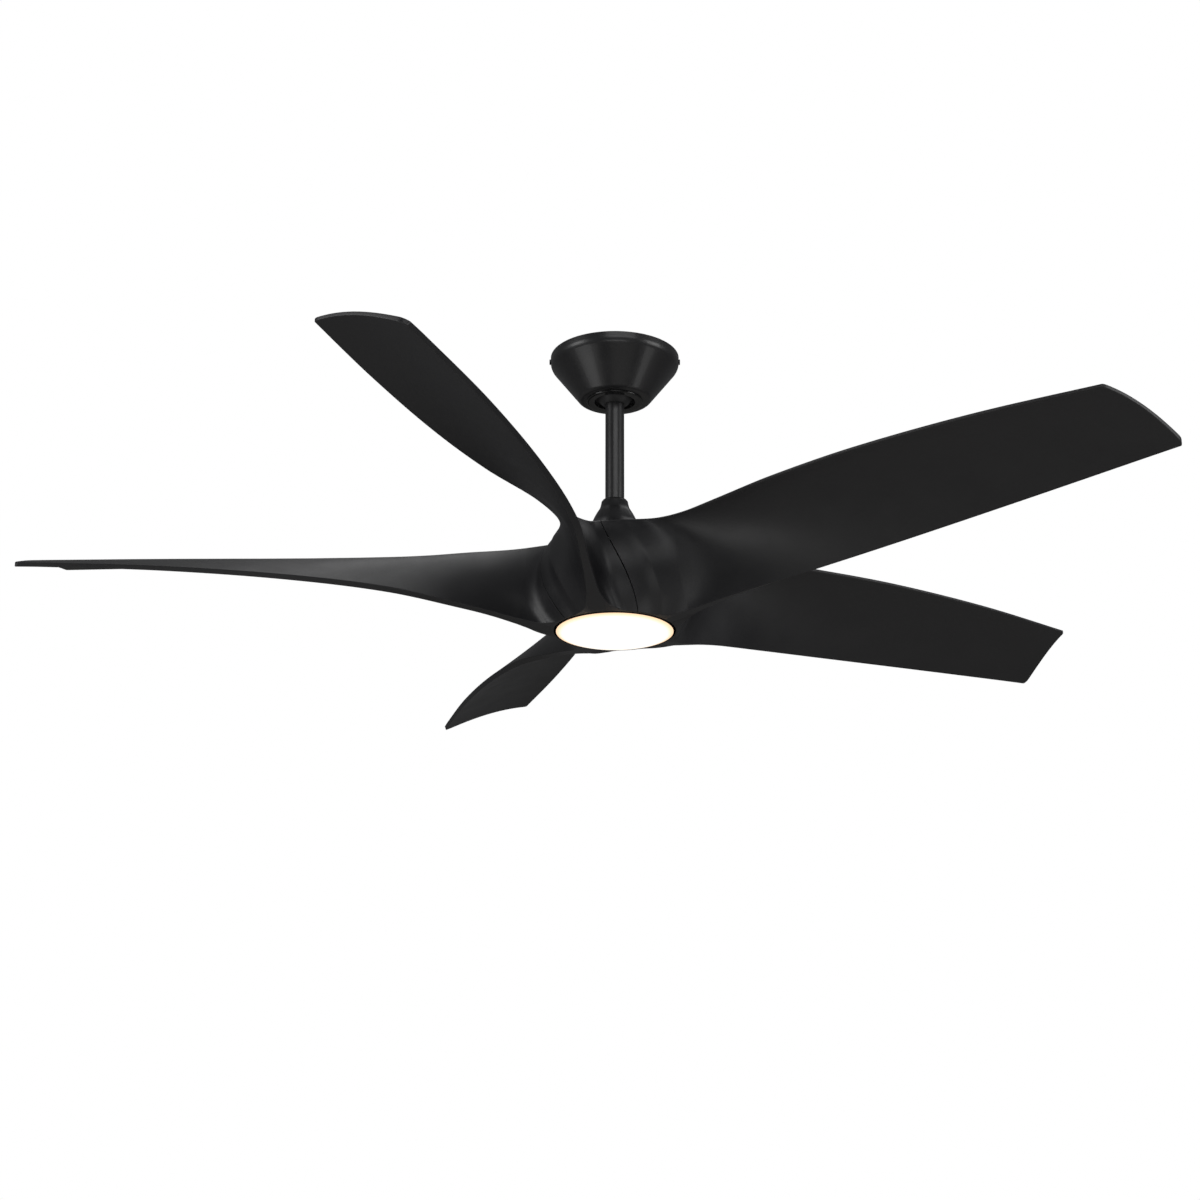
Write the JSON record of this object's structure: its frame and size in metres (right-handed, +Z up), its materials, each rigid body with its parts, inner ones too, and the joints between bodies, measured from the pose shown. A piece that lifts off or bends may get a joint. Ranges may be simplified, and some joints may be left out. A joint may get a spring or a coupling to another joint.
{
  "type": "ceiling fan with light",
  "caption": "Black ceiling fan on a ball-hung downrod, with long sculpted blades that flow out of a round hub and a shallow opal LED light under it.",
  "frame": {"origin": "centre of the hanger bracket's ceiling face, on the fan's vertical axis, midway between the two box-screw slots", "axes": "+Z up into the ceiling; +X along the bracket's long arms; the ball's key points along +Y"},
  "size_m": [1.4452, 1.499, 0.407],
  "materials": {
    "black_paint": "satin black powder coat",
    "gloss_black_trim": "gloss black moulded ring",
    "black_steel": "black-coated pressed steel",
    "black_screw": "black oxide steel",
    "module_plastic": "moulded flame-retardant plastic",
    "zinc_steel": "zinc-plated steel",
    "ball_plastic": "black glass-filled nylon",
    "cast_yoke": "black-coated cast yoke",
    "black_rubber": "matte rubber",
    "ground_steel": "ground steel",
    "cage_nylon": "natural nylon",
    "cast_aluminium": "die-cast aluminium",
    "lamination_steel": "stacked electrical steel",
    "copper_wire": "enamelled copper wire",
    "ferrite": "sintered ferrite",
    "blade_plastic": "matte black moulded ABS",
    "pan_aluminium": "black anodised aluminium",
    "board_mask": "white solder mask",
    "led_phosphor": "silicone with yellow phosphor",
    "opal_acrylic": "opal diffusing acrylic",
    "lead_insulation": "bundled lead insulation"
  },
  "bodies": {
    "ceiling_mount": {"hanger_bracket": "black_steel", "canopy": "black_paint", "canopy_trim_ring": "gloss_black_trim", "canopy_screws": "black_screw", "control_receiver": "module_plastic"},
    "socket_key": {"socket_key_pin": "zinc_steel"},
    "hanging_frame": {"hanger_ball": "ball_plastic", "ball_cross_pin": "zinc_steel", "ball_set_screw": "zinc_steel", "downrod": "black_paint", "motor_yoke": "cast_yoke", "yoke_clevis_pin": "zinc_steel", "yoke_clip": "zinc_steel", "yoke_set_screws": "zinc_steel", "motor_shaft": "ground_steel", "bearing_inner_races": "ground_steel", "stator_carrier": "cast_aluminium", "stator_core": "lamination_steel", "stator_windings": "copper_wire", "light_mount_plate": "zinc_steel", "plate_lock_nut": "zinc_steel", "light_housing": "pan_aluminium", "light_housing_screws": "zinc_steel", "led_board": "board_mask", "led_chips": "led_phosphor", "led_board_screws": "zinc_steel", "led_driver": "module_plastic", "motor_controller": "module_plastic", "module_screws": "zinc_steel", "lead_bundle": "lead_insulation"},
    "coupling_cover": {"coupling_cover": "black_paint", "cover_grommet": "black_rubber"},
    "rotor": {"rotor_upper_housing": "cast_aluminium", "rotor_lower_housing": "cast_aluminium", "rotor_housing_screws": "zinc_steel", "back_iron_ring": "lamination_steel", "rotor_magnets": "ferrite", "bearing_outer_races": "ground_steel", "hub_top_cover": "blade_plastic", "top_cover_screws": "black_screw", "blade_screws": "black_screw", "blade_1": "blade_plastic", "blade_2": "blade_plastic", "blade_3": "blade_plastic", "blade_4": "blade_plastic", "blade_5": "blade_plastic"},
    "lens": {"lens": "opal_acrylic"},
    "upper_bearing_set": {"upper_bearing_balls": "ground_steel", "upper_bearing_cage": "cage_nylon"},
    "lower_bearing_set": {"lower_bearing_balls": "ground_steel", "lower_bearing_cage": "cage_nylon"}
  },
  "joints": [
    {"name": "ball_tilt_side", "type": "hinge", "parent": "ceiling_mount", "child": "socket_key", "pos_m": [0, 0, -0.048], "axis": [0, 1, 0], "range_deg": [-12, 12]},
    {"name": "ball_tilt_front", "type": "hinge", "parent": "socket_key", "child": "hanging_frame", "pos_m": [0, 0, -0.048], "axis": [1, 0, 0], "range_deg": [-12, 12]},
    {"name": "fan_spin", "type": "hinge", "parent": "hanging_frame", "child": "rotor", "pos_m": [0, 0, -0.393], "axis": [0, 0, 1], "continuous": true},
    {"name": "upper_cage_spin", "type": "hinge", "parent": "hanging_frame", "child": "upper_bearing_set", "pos_m": [0, 0, -0.393], "axis": [0, 0, 1], "continuous": true},
    {"name": "lower_cage_spin", "type": "hinge", "parent": "hanging_frame", "child": "lower_bearing_set", "pos_m": [0, 0, -0.393], "axis": [0, 0, 1], "continuous": true},
    {"name": "cover_lift", "type": "slide", "parent": "hanging_frame", "child": "coupling_cover", "axis": [0, 0, 1], "range_m": [0, 0.12]},
    {"name": "lens_twist", "type": "hinge", "parent": "hanging_frame", "child": "lens", "pos_m": [0, 0, -0.393], "axis": [0, 0, 1], "range_deg": [0, 38]}
  ],
  "couplings": [
    {"joint": "upper_cage_spin", "follows": "fan_spin", "ratio": 0.6158},
    {"joint": "lower_cage_spin", "follows": "fan_spin", "ratio": 0.6158}
  ]
}
